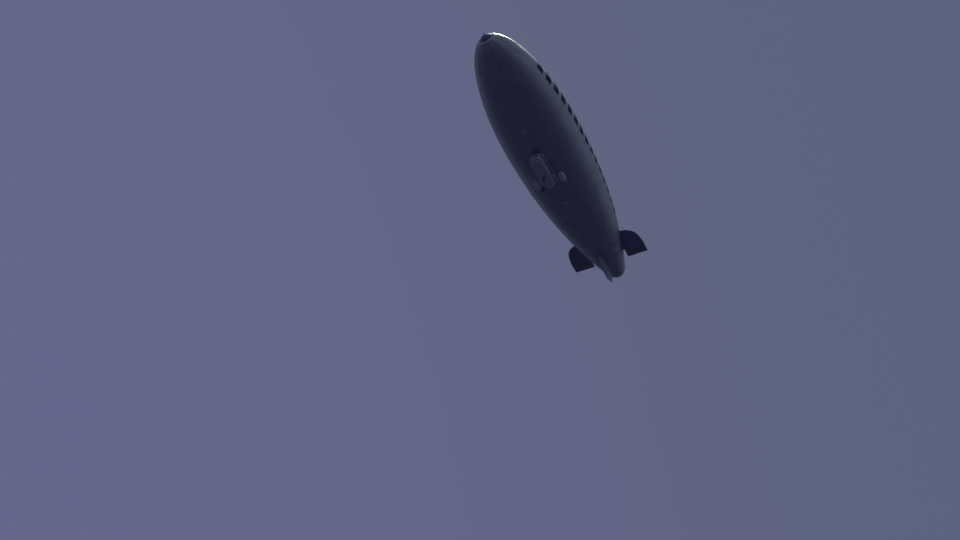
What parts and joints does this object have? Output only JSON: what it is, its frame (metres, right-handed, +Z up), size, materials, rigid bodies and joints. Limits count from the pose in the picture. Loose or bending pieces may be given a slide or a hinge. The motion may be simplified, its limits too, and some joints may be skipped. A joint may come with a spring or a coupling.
{
  "type": "non-rigid airship, 1:2 scale model",
  "caption": "Non-rigid airship: a long gas-filled envelope with finned tail, rudders and elevators, a cabin car slung beneath, pusher propellers and a swivelling landing wheel.",
  "frame": {"origin": "centre of buoyancy: on the envelope's axis, at the centre of its volume", "axes": "+X to the nose along the envelope's axis, +Y to port, +Z up in level flight"},
  "size_m": [29.335, 7.54, 9.0425],
  "materials": {
    "silver_fabric": "aluminised coated cloth, satin, with fine gore seams",
    "silver_paint": "aluminium battens painted silver",
    "navy_paint": "dark navy paint, satin",
    "steel": "bare and plated steel",
    "aluminium": "cast and sheet aluminium",
    "white_paint": "pale silver-white gloss paint",
    "glass": "clear acrylic, slightly tinted",
    "cabin_lining": "pale cabin lining",
    "carpet": "grey cabin carpet",
    "seat_fabric": "blue woven seat cloth",
    "black_plastic": "matt black panel",
    "black_paint": "matt black blades with pale tips",
    "duct_fabric": "silver-grey coated cloth over a frame",
    "tyre": "worn black rubber"
  },
  "bodies": {
    "hull": {"envelope": "silver_fabric", "nose_battens": "silver_paint", "nose_cone": "navy_paint", "fin_top": "navy_paint", "fin_left": "navy_paint", "fin_bottom": "navy_paint", "fin_right": "navy_paint", "mooring_spindle": "steel", "elevator_wheel": "steel", "hand_rail": "steel", "air_valve_forward": "aluminium", "air_valve_aft": "aluminium", "helium_valve": "aluminium", "engine_left": "aluminium", "engine_right": "aluminium", "car_nose": "white_paint", "car_tail": "white_paint", "car_belly": "white_paint", "car_side_left": "white_paint", "car_side_right": "white_paint", "outrigger_left": "white_paint", "outrigger_right": "white_paint", "nacelle_left": "white_paint", "nacelle_right": "white_paint", "gear_leg": "white_paint", "window_left_cockpit": "glass", "window_right_cockpit": "glass", "window_left_forward": "glass", "window_right_forward": "glass", "window_left_middle": "glass", "window_right_middle": "glass", "window_left_rear": "glass", "windshield_left": "glass", "windshield_right": "glass", "window_back": "glass", "cabin_ceiling": "cabin_lining", "cabin_floor": "carpet", "pilot_seat": "seat_fabric", "copilot_seat": "seat_fabric", "passenger_seat_left": "seat_fabric", "passenger_seat_right": "seat_fabric", "rear_bench": "seat_fabric", "instrument_panel": "black_plastic", "air_scoop_left": "duct_fabric", "air_scoop_right": "duct_fabric"},
    "rudder_top": {"rudder_top": "navy_paint"},
    "rudder_bottom": {"rudder_bottom": "navy_paint"},
    "elevator_left": {"elevator_left": "navy_paint"},
    "elevator_right": {"elevator_right": "navy_paint"},
    "propeller_left": {"propeller_left": "black_paint"},
    "propeller_right": {"propeller_right": "black_paint"},
    "door": {"cabin_door": "white_paint", "door_window": "glass"},
    "swivel": {"wheel_fork": "steel"},
    "wheel": {"wheel_rim": "steel", "wheel_tyre": "tyre"}
  },
  "joints": [
    {"name": "rudder_top_turn", "type": "hinge", "parent": "hull", "child": "rudder_top", "pos_m": [-12.8, 0, 2.76], "axis": [0, 0, 1], "range_deg": [-25, 25]},
    {"name": "rudder_bottom_turn", "type": "hinge", "parent": "hull", "child": "rudder_bottom", "pos_m": [-12.8, 0, -2.54], "axis": [0, 0, 1], "range_deg": [-25, 25]},
    {"name": "elevator_left_turn", "type": "hinge", "parent": "hull", "child": "elevator_left", "pos_m": [-12.8, 2.76, 0], "axis": [0, 1, 0], "range_deg": [-25, 25]},
    {"name": "elevator_right_turn", "type": "hinge", "parent": "hull", "child": "elevator_right", "pos_m": [-12.8, -2.76, 0], "axis": [0, 1, 0], "range_deg": [-25, 25]},
    {"name": "propeller_left_spin", "type": "hinge", "parent": "hull", "child": "propeller_left", "pos_m": [-0.17, 1.175, -4.025], "axis": [1, 0, 0], "continuous": true},
    {"name": "propeller_right_spin", "type": "hinge", "parent": "hull", "child": "propeller_right", "pos_m": [-0.17, -1.175, -4.025], "axis": [1, 0, 0], "continuous": true},
    {"name": "door_hinge", "type": "hinge", "parent": "hull", "child": "door", "pos_m": [1.3525, -0.55, -4.1375], "axis": [0, 0, 1], "range_deg": [0, 95]},
    {"name": "wheel_swivel", "type": "hinge", "parent": "hull", "child": "swivel", "pos_m": [1.5, 0, -4.85], "axis": [0, 0, 1], "continuous": true},
    {"name": "wheel_spin", "type": "hinge", "parent": "swivel", "child": "wheel", "pos_m": [1.415, 0, -5.1075], "axis": [0, 1, 0], "continuous": true}
  ],
  "couplings": [
    {"joint": "rudder_bottom_turn", "follows": "rudder_top_turn", "ratio": 1},
    {"joint": "elevator_right_turn", "follows": "elevator_left_turn", "ratio": 1}
  ]
}
